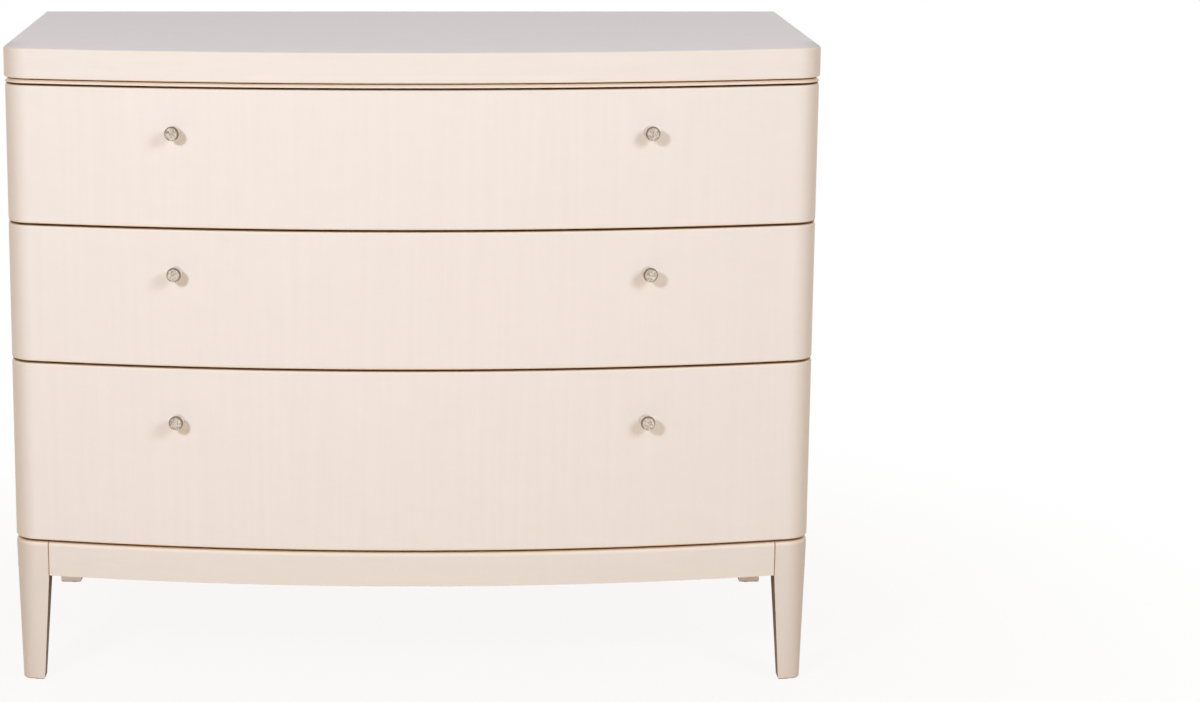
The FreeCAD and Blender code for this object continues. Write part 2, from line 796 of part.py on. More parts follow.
def make_box_side(drawer, side, box_z, box_top, level):
    body = new_body(f"{drawer}_{SIDE_NAMES[side]}_side")
    low_x, high_x = span(side, box_inner, box_half)
    add_box(body, (low_x, front_end, box_z), (high_x, box_end, box_top))
    low_x, high_x = span(side, *tongue_span)
    add_box(body, (low_x, f"{front_end} - dims.tongue_length", box_z), (high_x, front_end, box_top))
    low_x, high_x = span(side, box_inner, f"{box_inner} + dims.groove_depth")
    bottom_z = f"({box_z} + dims.box_bottom_rise)"
    cut_box(body, (low_x, front_end, bottom_z), (high_x, box_end, f"{bottom_z} + dims.box_bottom_thickness"))
    for y in slide_screw_ys:
        cut_bore(body, "slide_screw", (on_side(side, box_half), y, level), X_AXIS * -side,
                 bore_depth("dims.slide_screw_bite"))


def make_box_back(drawer, box_z, box_top):
    body = new_body(f"{drawer}_back")
    lower = f"({box_z} + dims.box_bottom_rise + dims.box_bottom_thickness)"
    inside = f"({box_end} - dims.box_back_thickness)"
    add_box(body, (f"-{box_inner}", inside, lower), (box_inner, box_end, box_top))


def make_box_bottom(drawer, box_z):
    body = new_body(f"{drawer}_bottom")
    bow_half = f"({hollow_half} - 2 * dims.groove_clearance)"
    radius = f"({inner_radius} + dims.groove_depth)"
    reach = f"({box_inner} + dims.groove_depth)"
    level = f"({box_z} + dims.box_bottom_rise)"
    board = bow_board(body, bow_half, radius, front_end, reach, box_end, level)
    pad(body, board, "dims.box_bottom_thickness")


# Knobs
def knob_direction(side):
    return FreeCAD.Vector(side * value(knob_sine), -value(knob_cosine), 0)


def knob_point(side, radius, knob_z):
    x = on_side(side, f"({radius} * {knob_sine})")
    return x, f"(dims.bow_radius - {radius} * {knob_cosine})", knob_z


def make_knob(drawer, side, knob_z):
    body = new_body(f"{drawer}_{SIDE_NAMES[side]}_knob")
    bore = f"({bore_radius('knob_screw')})"
    bore_end = f"({bore_depth('dims.knob_screw_bite')})"
    head_z = "(dims.knob_projection - dims.knob_head_height)"
    profile = [
        (bore, "0"),
        ("dims.knob_base_diameter / 2", "0"),
        ("dims.knob_base_diameter / 2", "dims.knob_base_height"),
        ("dims.knob_waist_diameter / 2", "dims.knob_waist_height"),
        ("dims.knob_face_diameter / 2", head_z),
        ("dims.knob_face_diameter / 2", "dims.knob_projection"),
        ("0", "dims.knob_projection"),
        ("0", bore_end),
        (bore, bore_end),
    ]
    sketch = outline(body, profile, role="XZ_Plane")
    turned = body.newObject("PartDesign::Revolution", "Turned")
    turned.Profile = sketch
    turned.ReferenceAxis = (sketch, ["V_Axis"])
    turned.Angle = 360
    face_z = value("dims.knob_projection")
    round_edges(body, "dims.knob_rim_radius", lambda edge: is_level(edge, face_z))
    body.Placement = FreeCAD.Placement(FreeCAD.Vector(), FreeCAD.Rotation(Z_AXIS, knob_direction(side)))
    x, y, z = knob_point(side, case_radius, knob_z)
    body.setExpression("Placement.Base.x", x)
    body.setExpression("Placement.Base.y", f"{y} + {shift_y}")
    body.setExpression("Placement.Base.z", z)


def make_drawer(drawer, front_z, height, knob_drop):
    box_z = f"({front_z} + dims.box_rise)"
    box_top = f"({front_z} + {height} - dims.box_drop)"
    knob_z = f"({front_z} + {height} - {knob_drop})"
    level = slide_level(front_z)
    make_front(drawer, front_z, height, knob_z)
    for side in (LEFT, RIGHT):
        make_box_side(drawer, side, box_z, box_top, level)
        make_knob(drawer, side, knob_z)
    make_box_back(drawer, box_z, box_top)
    make_box_bottom(drawer, box_z)
    make_slides(drawer, level)
    make_drawer_screws(drawer, knob_z, level)


# Screws and bumpers
def make_drawer_screws(drawer, knob_z, level):
    knob_screws = []
    slide_screws = []
    knob_length = value("dims.front_thickness + dims.seat_clearance + dims.knob_screw_bite")
    slide_length = value("dims.slide_sheet + dims.slide_screw_bite")
    for side in (LEFT, RIGHT):
        seat = point(knob_point(side, f"({inner_radius} - dims.seat_clearance)", knob_z))
        knob_screws.append(screw("knob_screw", seat, knob_direction(side), knob_length))
        for y in slide_screw_ys:
            seat = point((on_side(side, drawer_web), y, level))
            slide_screws.append(screw("slide_screw", seat, X_AXIS * -side, slide_length))
    add_group(f"{drawer}_knob_screws", knob_screws)
    add_group(f"{drawer}_slide_screws", slide_screws)


def make_case_screws():
    up = [screw("wood_screw", point(seat), Z_AXIS, value(top_screw_length)) for seat in top_screw_seats]
    add_group("top_screws", up)
    block_length = value("dims.block_height + dims.base_screw_bite")
    base = [screw("wood_screw", point(seat), Z_AXIS, block_length) for seat in block_screw_seats]
    add_group("base_screws", base)
    back_length = value("dims.back_thickness + dims.wood_screw_bite")
    back = [
        screw("wood_screw", point(seat), -Y_AXIS, back_length) for seat in side_edge_seats + bottom_edge_seats
    ]
    add_group("back_screws", back)
    slide_length = value("dims.slide_sheet + dims.slide_screw_bite")
    slides = []
    for front_z, _, _ in DRAWERS.values():
        for side in (LEFT, RIGHT):
            for y in slide_screw_ys:
                seat = point((on_side(side, case_web), y, slide_level(front_z)))
                slides.append(screw("slide_screw", seat, X_AXIS * side, slide_length))
    add_group("case_slide_screws", slides)


def make_bumpers():
    solids = []
    radius = value("dims.bumper_diameter / 2")
    thickness = value("dims.bumper_thickness")
    for front_z, height, _ in DRAWERS.values():
        for z in (f"{front_z} + dims.bumper_inset", f"{front_z} + {height} - dims.bumper_inset"):
            for side in (LEFT, RIGHT):
                centre = point((on_side(side, f"({half_case} - dims.side_thickness / 2)"), front_end, z))
                solids.append(Part.makeCylinder(radius, thickness, centre, Y_AXIS))
    add_group("drawer_bumpers", solids)


make_top_panel()
make_sub_top()
make_bottom_panel()
make_back_panel()
for rail in rail_levels:
    make_rail(rail)
for side in (LEFT, RIGHT):
    make_side_panel(side)
    make_side_apron(side)
    make_leg(side, front=True)
    make_leg(side, front=False)
make_front_apron()
make_rear_apron()
make_corner_blocks()
make_foot_glides()
for drawer, (front_z, height, knob_drop) in DRAWERS.items():
    make_drawer(drawer, front_z, height, knob_drop)
make_case_screws()
make_bumpers()
doc.recompute()

# Every object must have been rebuilt and every piece must be a sound solid
for item in doc.Objects:
    if "Invalid" in item.State or "Error" in item.State:
        raise RuntimeError(f"{item.Label} was not rebuilt: {item.State}")
for piece in parts:
    if piece.Shape.isNull() or not piece.Shape.isValid() or not piece.Shape.Solids:
        raise RuntimeError(f"{piece.Label} is not a sound solid")

os.makedirs("parts", exist_ok=True)
for piece in parts:
    piece.Shape.exportStep(f"parts/{piece.Label}.step")
print(f"{len(parts)} pieces written")
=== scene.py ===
import math

import bmesh
import bpy
import numpy as np
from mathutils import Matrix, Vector


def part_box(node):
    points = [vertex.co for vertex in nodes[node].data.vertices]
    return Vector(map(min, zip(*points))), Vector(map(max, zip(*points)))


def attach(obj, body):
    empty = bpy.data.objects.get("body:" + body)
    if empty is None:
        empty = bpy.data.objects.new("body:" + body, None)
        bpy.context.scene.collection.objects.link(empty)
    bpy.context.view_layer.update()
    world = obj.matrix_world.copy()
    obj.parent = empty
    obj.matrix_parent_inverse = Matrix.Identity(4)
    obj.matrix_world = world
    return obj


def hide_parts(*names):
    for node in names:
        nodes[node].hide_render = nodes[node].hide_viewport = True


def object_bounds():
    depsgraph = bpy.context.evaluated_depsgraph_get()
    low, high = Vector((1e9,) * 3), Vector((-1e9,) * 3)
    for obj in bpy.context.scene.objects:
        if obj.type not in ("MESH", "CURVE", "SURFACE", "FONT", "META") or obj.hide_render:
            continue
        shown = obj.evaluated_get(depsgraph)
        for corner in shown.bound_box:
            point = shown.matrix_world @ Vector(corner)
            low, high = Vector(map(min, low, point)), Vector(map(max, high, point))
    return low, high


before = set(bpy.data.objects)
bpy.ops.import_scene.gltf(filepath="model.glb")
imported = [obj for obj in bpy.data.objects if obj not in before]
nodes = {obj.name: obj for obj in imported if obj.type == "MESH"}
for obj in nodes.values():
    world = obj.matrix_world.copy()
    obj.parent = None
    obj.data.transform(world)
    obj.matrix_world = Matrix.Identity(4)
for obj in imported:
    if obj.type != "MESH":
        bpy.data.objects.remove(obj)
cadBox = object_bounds()
drawers = ("top_drawer", "middle_drawer", "bottom_drawer")
scene = bpy.context.scene
scene.view_settings.view_transform = "Standard"
print("frame loaded:", len(nodes), "nodes")


# a socket that can stand in a sum; node() adds any other node to the same tree
class Wire:
    def __init__(self, tree, socket=None):
        self.tree = tree
        self.socket = socket

    def node(self, kind, settings=None, values=None, out=0):
        made = self.tree.nodes.new(kind)
        for name, value in (settings or {}).items():
            setattr(made, name, value)
        for name, value in (values or {}).items():
            if isinstance(value, Wire):
                self.tree.links.new(value.socket, made.inputs[name])
            else:
                made.inputs[name].default_value = value
        return Wire(self.tree, made.outputs[out] if len(made.outputs) else None)

    def maths(self, operation, first, second):
        return self.node("ShaderNodeMath", {"operation": operation}, {0: first, 1: second})

    def __add__(self, other):
        return self.maths("ADD", self, other)

    def __sub__(self, other):
        return self.maths("SUBTRACT", self, other)

    def __rsub__(self, other):
        return self.maths("SUBTRACT", other, self)

    def __mul__(self, other):
        return self.maths("MULTIPLY", self, other)

    def __pow__(self, other):
        return self.maths("POWER", self, other)

    __radd__ = __add__
    __rmul__ = __mul__

    def __abs__(self):
        return self.maths("ABSOLUTE", self, 0.0)

    def part(self, axis):
        return self.node("ShaderNodeSeparateXYZ", {}, {"Vector": self}, axis)

    # 0 below low, 1 above high, smooth between them
    def rise(self, low, high):
        return self.node("ShaderNodeMapRange", {"interpolation_type": "SMOOTHSTEP"},
                         {"Value": self, "From Min": low, "From Max": high})

    # the first colour where this value is 0, the second where it is 1
    def between(self, first, second, how="MIX"):
        return self.node("ShaderNodeMix", {"data_type": "RGBA", "blend_type": how},
                         {0: self, 6: first, 7: second}, 2)

    # this colour with another laid over it
    def blendTo(self, shade, amount, how="MIX"):
        return self.node("ShaderNodeMix", {"data_type": "RGBA", "blend_type": how},
                         {0: amount, 6: self, 7: shade}, 2)

    def noise(self, scale, detail=3.0, rough=0.55, warp=0.0):
        return self.node("ShaderNodeTexNoise", {}, {"Vector": self, "Scale": scale, "Detail": detail,
                                                    "Roughness": rough, "Distortion": warp})

    def bump(self, strength, depth, under=None):
        values = {"Strength": strength, "Distance": depth, "Height": self}
        if under:
            values["Normal"] = under
        return self.node("ShaderNodeBump", {}, values)


def colour(red, green, blue):
    return (red, green, blue, 1.0)


def startFinish(name):
    finish = bpy.data.materials.new(name)
    finish.use_nodes = True
    finish.node_tree.nodes.clear()
    return finish, Wire(finish.node_tree).node("ShaderNodeTexCoord", out="Object")


def endFinish(finish, values):
    shader = Wire(finish.node_tree).node("ShaderNodeBsdfPrincipled", {}, values)
    shader.node("ShaderNodeOutputMaterial", {}, {"Surface": shader})
    return finish


# coordinates that run along the grain: slow along one axis, quick across it
def alongGrain(place, axis, along, across, start=(0, 0, 0)):
    scale = [across] * 3
    scale["xyz".index(axis)] = along
    return place.node("ShaderNodeMapping", {}, {"Vector": place, "Location": start, "Scale": scale})


# 1 on edges and corners, 0 on flat faces
def edgeMask(place, reach):
    rounded = place.node("ShaderNodeBevel", {"samples": 4}, {"Radius": reach})
    face = place.node("ShaderNodeNewGeometry", out="Normal")
    same = place.node("ShaderNodeVectorMath", {"operation": "DOT_PRODUCT"}, {0: rounded, 1: face}, "Value")
    return (1 - same).rise(0.015, 0.22)


# painted shade: 1 in seams and tight corners, where ambient light is blocked, 0 in the open
def seamShadeMask(place, reach):
    daylight = place.node("ShaderNodeAmbientOcclusion", {"samples": 4}, {"Distance": reach}, "AO")
    return (1 - daylight).rise(0.30, 0.85)


# a pair is (low, high) of a rise, or (along, across) of a grain
creamPaint = {
    "light": colour(0.868, 0.770, 0.704),
    "deep": colour(0.832, 0.728, 0.658),
    "wornAndLitEdge": colour(0.93, 0.755, 0.585),
    "seamShadeAndJoint": colour(0.40, 0.20, 0.085),
    "cornerShade": colour(0.74, 0.69, 0.62),
    "insideShadow": colour(0.17, 0.112, 0.083),
    "roughness": 0.46, "gloss": 0.32, "insideRoughness": 0.45,
    "streaks": (5.0, 130.0), "pores": (26.0, 760.0), "figure": (60.0, 22.0),
    "clouds": 2.6, "orangePeel": 620.0,
    "streakTone": 1.15, "figureTone": 0.5, "cloudTone": 0.45,
    "openPores": (0.60, 0.74), "poreTone": 0.35,
    "roundedEdge": (0.15, 0.6), "levelTop": (0.9, 0.99), "edgeLightTone": 0.85,
    "edgeReach": 0.003, "wearScale": 38.0, "wearPatches": (0.30, 0.62), "wearTone": 0.5,
    "cornerAcross": (0.426, 0.464), "cornerForward": (0.09, 0.15),
    "seamShadeReach": 0.006, "seamShadeTone": 0.85,
    "jointWidth": 0.001, "jointTone": 0.85,
    "turnedInside": (0.26, 0.34),
}
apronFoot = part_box("front_apron")[0].z
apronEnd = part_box("front_apron")[1].x


def makeCream(name, axis, start, lightTint=colour(1, 1, 1), flatTop=False, joint=False, shadeInside=False):
    cream = creamPaint
    finish, place = startFinish(name)
    facing = place.node("ShaderNodeNewGeometry", out="Normal")
    streaks = alongGrain(place, axis, *cream["streaks"], start).noise(1.0, detail=4.0, rough=0.6, warp=0.25)
    pores = alongGrain(place, axis, *cream["pores"], start).noise(1.0, detail=2.0, rough=0.5)
    figure = alongGrain(place, axis, *cream["figure"], start).noise(1.0, detail=2.0, rough=0.5, warp=0.4)
    clouds = place.noise(cream["clouds"], detail=2.0, rough=0.5)
    peel = place.noise(cream["orangePeel"], detail=1.0, rough=0.4)
    tone = (0.5 + (streaks - 0.5) * cream["streakTone"] + (figure - 0.5) * cream["figureTone"]
            + (clouds - 0.5) * cream["cloudTone"])
    paint = tone.between(cream["deep"], cream["light"])
    # painted light and shade: the piece's tint multiplies the paint
    paint = paint.blendTo(lightTint, 1.0, "MULTIPLY")
    openPores = pores.rise(*cream["openPores"])
    paint = paint.blendTo(cream["deep"], openPores * cream["poreTone"])
    tilt = abs(facing.part("Z"))   # painted light: rounded upper and lower edges get a warm colour, standing in for light bounced off the cream below
    litEdge = tilt.rise(*cream["roundedEdge"])
    if flatTop:
        litEdge = litEdge * (1 - tilt.rise(*cream["levelTop"]))
    patches = place.noise(cream["wearScale"], detail=3.0, rough=0.6).rise(*cream["wearPatches"])
    wear = edgeMask(place, cream["edgeReach"]) * patches
    # painted warm light on edges by the way they face, then real wear in patches on edges, in the same warm
    # colour
    paint = paint.blendTo(cream["wornAndLitEdge"], litEdge * cream["edgeLightTone"])
    paint = paint.blendTo(cream["wornAndLitEdge"], wear * cream["wearTone"])
    across, forward = abs(place.part("X")), 0 - place.part("Y")
    corners = across.rise(*cream["cornerAcross"]) * forward.rise(*cream["cornerForward"])
    paint = paint.blendTo(cream["cornerShade"], corners, "MULTIPLY")     # painted shade: round front corners are darkened towards the silhouette, where they turn away from the light
    # painted shade: the paint is darkened to brown in seams and gaps between parts; the same colour also
    # draws the dark joint line below
    paint = paint.blendTo(cream["seamShadeAndJoint"], seamShadeMask(place, cream["seamShadeReach"]) * cream["seamShadeTone"])
    if joint:                      # line where the leg meets the apron
        width = cream["jointWidth"]
        line = 1 - abs(abs(place.part("X")) - apronEnd).rise(width * 0.5, width)
        line = line * place.part("Z").rise(apronFoot - width, apronFoot)
        paint = paint.blendTo(cream["seamShadeAndJoint"], line * cream["jointTone"])
    if shadeInside:                 # painted shade: faces turned to the middle of the base are darkened as if in shadow, darkest under the apron and lighter at the foot
        inside = (0 - facing.part("X") * place.part("X")).rise(*cream["turnedInside"])
        shadowAmount = inside * (0.70 + streaks * 0.30 + place.part("Z").rise(0.0, apronFoot) * 0.14)
        paint = paint.blendTo(cream["insideShadow"], shadowAmount)
    rough = cream["roughness"] + (clouds - 0.5) * 0.12 + (pores - 0.5) * 0.10 - wear * 0.06
    if shadeInside:
        rough = rough + inside * cream["insideRoughness"]
    skin = peel.bump(0.05, 0.0004)
    grain = (streaks * 0.5 - openPores * 0.5).bump(0.10, 0.0005, skin)
    return endFinish(finish, {"Base Color": paint, "Roughness": rough, "Normal": grain,
                              "Specular IOR Level": cream["gloss"]})


bareWood = {
    "drawerBox": {"early": colour(0.70, 0.51, 0.32), "late": colour(0.50, 0.32, 0.17),
                  "rings": 62.0, "wander": 9.0, "sheen": 0.44},
    "caseBoard": {"early": colour(0.62, 0.45, 0.28), "late": colour(0.45, 0.30, 0.165),
                  "rings": 46.0, "wander": 12.0, "sheen": 0.58},
    "backPly": {"early": colour(0.74, 0.585, 0.405), "late": colour(0.575, 0.415, 0.25),
                "rings": 24.0, "wander": 22.0, "sheen": 0.60},
    "drawerPly": {"early": colour(0.74, 0.59, 0.41), "late": colour(0.60, 0.44, 0.275),
                  "rings": 30.0, "wander": 20.0, "sheen": 0.50},
}
woodGrain = {
    "log": (0.05, 1.0), "fibre": (14.0, 900.0), "fleck": (70.0, 420.0), "years": 16.0, "clouds": 4.0,
    "lateSharpness": 1.8, "leanYears": (0.30, 0.66), "openPores": (0.60, 0.76), "brightFleck": (0.62, 0.74),
    "ringTone": 0.55, "fibreTone": 0.36, "yearTone": 0.55, "cloudTone": 0.35,
    "poreTone": 0.5, "fleckTone": 0.35, "edgeReach": 0.002, "edgeTone": 0.35,
}


# boards and veneer cut from a log whose heart lies off the piece, so that its rings run along the grain
def makeBareWood(name, axis, heart):
    wood, grain = bareWood[name], woodGrain
    finish, place = startFinish(name + axis.upper())
    log = alongGrain(place, axis, *grain["log"], heart)
    rings = log.node("ShaderNodeTexWave",
                     {"wave_type": "RINGS", "rings_direction": axis.upper(), "wave_profile": "SAW"},
                     {"Vector": log, "Scale": wood["rings"], "Distortion": wood["wander"], "Detail": 3.0,
                      "Detail Scale": 0.22, "Detail Roughness": 0.55})
    years = log.noise(grain["years"], detail=3.0, rough=0.6, warp=0.4)     # good and lean years, fingers wide
    fibre = alongGrain(place, axis, *grain["fibre"], heart).noise(1.0, detail=3.0, rough=0.6)
    fleck = alongGrain(place, axis, *grain["fleck"], heart).noise(1.0, detail=2.0, rough=0.5)
    clouds = place.noise(grain["clouds"], detail=2.0, rough=0.5)
    late = rings ** grain["lateSharpness"]
    tone = (late * years.rise(*grain["leanYears"]) * grain["ringTone"] + fibre * grain["fibreTone"]
            + (years - 0.5) * grain["yearTone"] + (clouds - 0.5) * grain["cloudTone"])
    timber = tone.between(wood["early"], wood["late"])
    pores = fibre.rise(*grain["openPores"])
    timber = timber.blendTo(wood["late"], pores * grain["poreTone"])
    timber = timber.blendTo(wood["early"], fleck.rise(*grain["brightFleck"]) * grain["fleckTone"])
    timber = timber.blendTo(wood["late"], edgeMask(place, grain["edgeReach"]) * grain["edgeTone"], "MULTIPLY")
    rough = wood["sheen"] + fibre * 0.14 + pores * 0.1
    relief = (late * 0.3 - pores * 0.7).bump(0.16, 0.0005)
    return endFinish(finish, {"Base Color": timber, "Roughness": rough, "Normal": relief})


zincSteel = {
    "bright": colour(0.66, 0.67, 0.68), "dull": colour(0.50, 0.51, 0.53), "roughness": 0.30,
    "spangle": 190.0, "drawn": (9.0, 1400.0), "stain": 34.0, "stained": (0.45, 0.75),
    "spangleTone": 0.25, "drawnTone": 0.35, "stainTone": 0.4,
}


def makeZinc():
    steel = zincSteel
    finish, place = startFinish("zincSteel")
    spangle = place.node("ShaderNodeTexVoronoi", {}, {"Vector": place, "Scale": steel["spangle"]}, "Distance")
    drawn = alongGrain(place, "y", *steel["drawn"]).noise(1.0, detail=2.0, rough=0.5)
    stain = place.noise(steel["stain"], detail=3.0, rough=0.6)
    tone = (spangle * steel["spangleTone"] + drawn * steel["drawnTone"]
            + stain.rise(*steel["stained"]) * steel["stainTone"])
    metal = tone.between(steel["bright"], steel["dull"])
    rough = steel["roughness"] + drawn * 0.12 + stain * 0.10
    return endFinish(finish, {"Base Color": metal, "Metallic": 1.0, "Roughness": rough,
                              "Normal": drawn.bump(0.08, 0.0002)})


screwSteel = {"bright": colour(0.58, 0.57, 0.55), "dull": colour(0.36, 0.35, 0.34), "roughness": 0.34,
              "grime": 420.0, "grimy": (0.38, 0.72)}


def makeScrewSteel():
    steel = screwSteel
    finish, place = startFinish("screwSteel")
    grime = place.noise(steel["grime"], detail=3.0, rough=0.6)
    metal = grime.rise(*steel["grimy"]).between(steel["bright"], steel["dull"])
    rough = steel["roughness"] + grime * 0.2
    return endFinish(finish, {"Base Color": metal, "Metallic": 1.0, "Roughness": rough,
                              "Normal": grime.bump(0.1, 0.0001)})


nickelPlate = {
    "face": colour(0.83, 0.73, 0.63), "tarnish": colour(0.27, 0.205, 0.15), "rim": colour(0.22, 0.17, 0.13),
    "neck": colour(0.88, 0.80, 0.71), "roughness": 0.28,
    "specks": 520.0, "speckled": (0.42, 0.60), "speckTone": 0.6,
    "patches": 160.0, "patched": (0.42, 0.74), "patchTone": 0.4, "rimTone": 0.92, "neckTone": 0.9,
}


def makeNickel():
    plate = nickelPlate
    finish, place = startFinish("nickelPlate")
    rim = place.node("ShaderNodeAttribute", {"attribute_name": "rimShade"}, {}, "Fac")
    neck = place.node("ShaderNodeAttribute", {"attribute_name": "neckShade"}, {}, "Fac")
    specks = place.noise(plate["specks"], detail=2.0, rough=0.6)
    patches = place.noise(plate["patches"], detail=3.0, rough=0.6)
    tone = (patches.rise(*plate["patched"]) * plate["patchTone"]
            + specks.rise(*plate["speckled"]) * plate["speckTone"])
    metal = tone.between(plate["face"], plate["tarnish"])
    # painted reflection: a dark rim and a light neck laid over the plating
    metal = metal.blendTo(plate["rim"], rim * plate["rimTone"])
    metal = metal.blendTo(plate["neck"], neck * plate["neckTone"])
    rough = plate["roughness"] + patches * 0.12 + rim * 0.12
    return endFinish(finish, {"Base Color": metal, "Metallic": 1.0, "Roughness": rough,
                              "Normal": specks.bump(0.06, 0.0001)})


mouldedParts = {
    "nylonGlide": {"shade": colour(0.20, 0.16, 0.12), "roughness": 0.45},
    "softBumper": {"shade": colour(0.70, 0.68, 0.62), "roughness": 0.6},
}
plasticDust = {"shade": colour(0.72, 0.70, 0.66), "scale": 260.0, "tone": 0.5, "grit": 1500.0}


def makeMoulded(name):
    part = mouldedParts[name]
    finish, place = startFinish(name)
    dust = place.noise(plasticDust["scale"], detail=3.0, rough=0.6)
    plastic = (dust * plasticDust["tone"]).between(part["shade"], plasticDust["shade"], "MULTIPLY")
    rough = part["roughness"] + dust * 0.2
    grit = place.noise(plasticDust["grit"], detail=1.0).bump(0.12, 0.0001)
    return endFinish(finish, {"Base Color": plastic, "Roughness": rough, "Normal": grit})


def dressNode(name, finish):
    mesh = nodes[name].data
    mesh.materials.clear()
    mesh.materials.append(finish)


# each piece takes its grain from another place, and some get painted light or shade multiplied into the
# paint: the base and legs darker and the top greyer as painted shade, the lip warmer as painted light under
# the top
baseShade = colour(0.95, 0.945, 0.925)
creamFronts = {drawer: makeCream("creamFront" + str(turn), "z", (turn * 1.7, turn * 3.1, turn * 0.9))
               for turn, drawer in enumerate(drawers)}
creamTop = makeCream("creamTop", "x", (2.3, 0.4, 5.1), colour(0.985, 0.98, 0.975), flatTop=True)
creamLip = makeCream("creamLip", "x", (4.1, 7.7, 1.3), colour(1.0, 0.96, 0.89))
creamApron = makeCream("creamApron", "x", (6.7, 2.2, 3.9), baseShade, joint=True)
creamSideApron = makeCream("creamSideApron", "y", (1.2, 8.3, 6.4), baseShade)
creamLegs = makeCream("creamLegs", "z", (9.4, 1.1, 2.8), colour(0.925, 0.915, 0.90), joint=True,
                      shadeInside=True)
creamSides = makeCream("creamSides", "z", (3.3, 5.8, 7.2))
boxAlong = makeBareWood("drawerBox", "y", (0.11, 1.0, -0.46))
boxAcross = makeBareWood("drawerBox", "x", (3.0, -0.30, -0.40))
caseBoard = makeBareWood("caseBoard", "x", (1.0, 0.14, 0.03))
backPly = makeBareWood("backPly", "z", (0.12, -0.19, 5.0))
drawerPly = makeBareWood("drawerPly", "x", (5.0, 0.10, -0.15))
zinc = makeZinc()
screwMetal = makeScrewSteel()
nickel = makeNickel()

dressNode("top_panel", creamTop)
dressNode("sub_top", creamLip)
dressNode("rear_apron", creamApron)
for side in ("left", "right"):
    dressNode(side + "_side_panel", creamSides)
    dressNode(side + "_apron", creamSideApron)
    for end in ("front", "rear"):
        dressNode(end + "_" + side + "_leg", creamLegs)
for name in ("bottom_panel", "lower_drawer_rail", "upper_drawer_rail", "corner_blocks"):
    dressNode(name, caseBoard)
dressNode("back_panel", backPly)
dressNode("foot_glides", makeMoulded("nylonGlide"))
dressNode("drawer_bumpers", makeMoulded("softBumper"))
for drawer in drawers:
    dressNode(drawer + "_front", creamFronts[drawer])
    for side in ("left", "right"):
        dressNode(drawer + "_" + side + "_side", boxAlong)
    dressNode(drawer + "_back", boxAcross)
    dressNode(drawer + "_bottom", drawerPly)
    for member in ("case", "middle", "drawer"):
        dressNode(drawer + "_slide_" + member + "_members", zinc)
print("finishes made:", len(bpy.data.materials))


# the drawer fronts and the apron share one bow, turned about an upright axis behind the back
bow = {"radius": 2.029, "axisY": cadBox[1].y + 1.560}
apronBoard = {"thickness": 0.020, "topRound": 0.005, "roundSteps": 10, "endBevel": 0.0007, "stations": 128,
              "sharpAngle": 30}


def makeApron():
    low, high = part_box("front_apron")
    board = apronBoard
    radius, bevel = board["topRound"], board["endBevel"]
    section = [(0.0, low.z)]       # (depth behind the front face, height), once round the board
    for step in range(board["roundSteps"] + 1):
        angle = math.pi / 2 * step / board["roundSteps"]
        section.append((radius - radius * math.cos(angle), high.z - radius + radius * math.sin(angle)))
    section += [(board["thickness"], high.z), (board["thickness"], low.z)]
    inner = high.x - bevel
    stations = [-inner + 2 * inner * step / board["stations"] for step in range(board["stations"] + 1)]
    form = bmesh.new()
    loops = []
    for x in (-high.x, *stations, high.x):
        least = bevel if abs(x) > inner + 1e-6 else 0.0
        loop = []
        for depth, height in section:
            reach = bow["radius"] - max(depth, least)
            loop.append(form.verts.new((x, bow["axisY"] - math.sqrt(reach ** 2 - x * x), height)))
        loops.append(loop)
    for first, second in zip(loops, loops[1:]):
        for spot in range(len(section)):
            after = (spot + 1) % len(section)
            form.faces.new((first[spot], first[after], second[after], second[spot]))
    form.faces.new(loops[0])
    form.faces.new(loops[-1])
    bmesh.ops.recalc_face_normals(form, faces=form.faces)
    mesh = bpy.data.meshes.new("front_apron_board")
    form.to_mesh(mesh)
    form.free()
    for face in mesh.polygons:
        face.use_smooth = True
    mesh.set_sharp_from_angle(angle=math.radians(board["sharpAngle"]))
    mesh.materials.append(creamApron)
    piece = bpy.data.objects.new("front_apron_board", mesh)
    scene.collection.objects.link(piece)
    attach(piece, "case")
    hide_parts("front_apron")


makeApron()
print("apron swept along the bow")


# solids of one node, each as an array of its corner points
def islandsOf(name):
    form = bmesh.new()
    form.from_mesh(nodes[name].data)
    bmesh.ops.remove_doubles(form, verts=form.verts, dist=1e-6)
    left = set(form.verts)
    islands = []
    while left:
        start = left.pop()
        reached, queue = [start], [start]
        while queue:
            for edge in queue.pop().link_edges:
                for corner in edge.verts:
                    if corner in left:
                        left.remove(corner)
                        reached.append(corner)
                        queue.append(corner)
        islands.append(np.array([corner.co[:] for corner in reached]))
    form.free()
    return islands


# closed turned shape about Z from a line of (radius, height) pairs that starts and ends on the axis
def turnedMesh(name, line, steps):
    form = bmesh.new()
    corners = [form.verts.new((radius, 0.0, height)) for radius, height in line]
    edges = [form.edges.new(pair) for pair in zip(corners, corners[1:])]
    bmesh.ops.spin(form, geom=corners + edges, cent=(0, 0, 0), axis=(0, 0, 1), angle=math.tau, steps=steps)
    bmesh.ops.remove_doubles(form, verts=form.verts, dist=1e-6)
    bmesh.ops.recalc_face_normals(form, faces=form.faces)
    mesh = bpy.data.meshes.new(name)
    form.to_mesh(mesh)
    form.free()
    return mesh


def arc(centre, radius, first, last, count):
    angles = [math.radians(first + (last - first) * step / count) for step in range(count + 1)]
    return [(centre[0] + radius * math.cos(angle), centre[1] + radius * math.sin(angle)) for angle in angles]


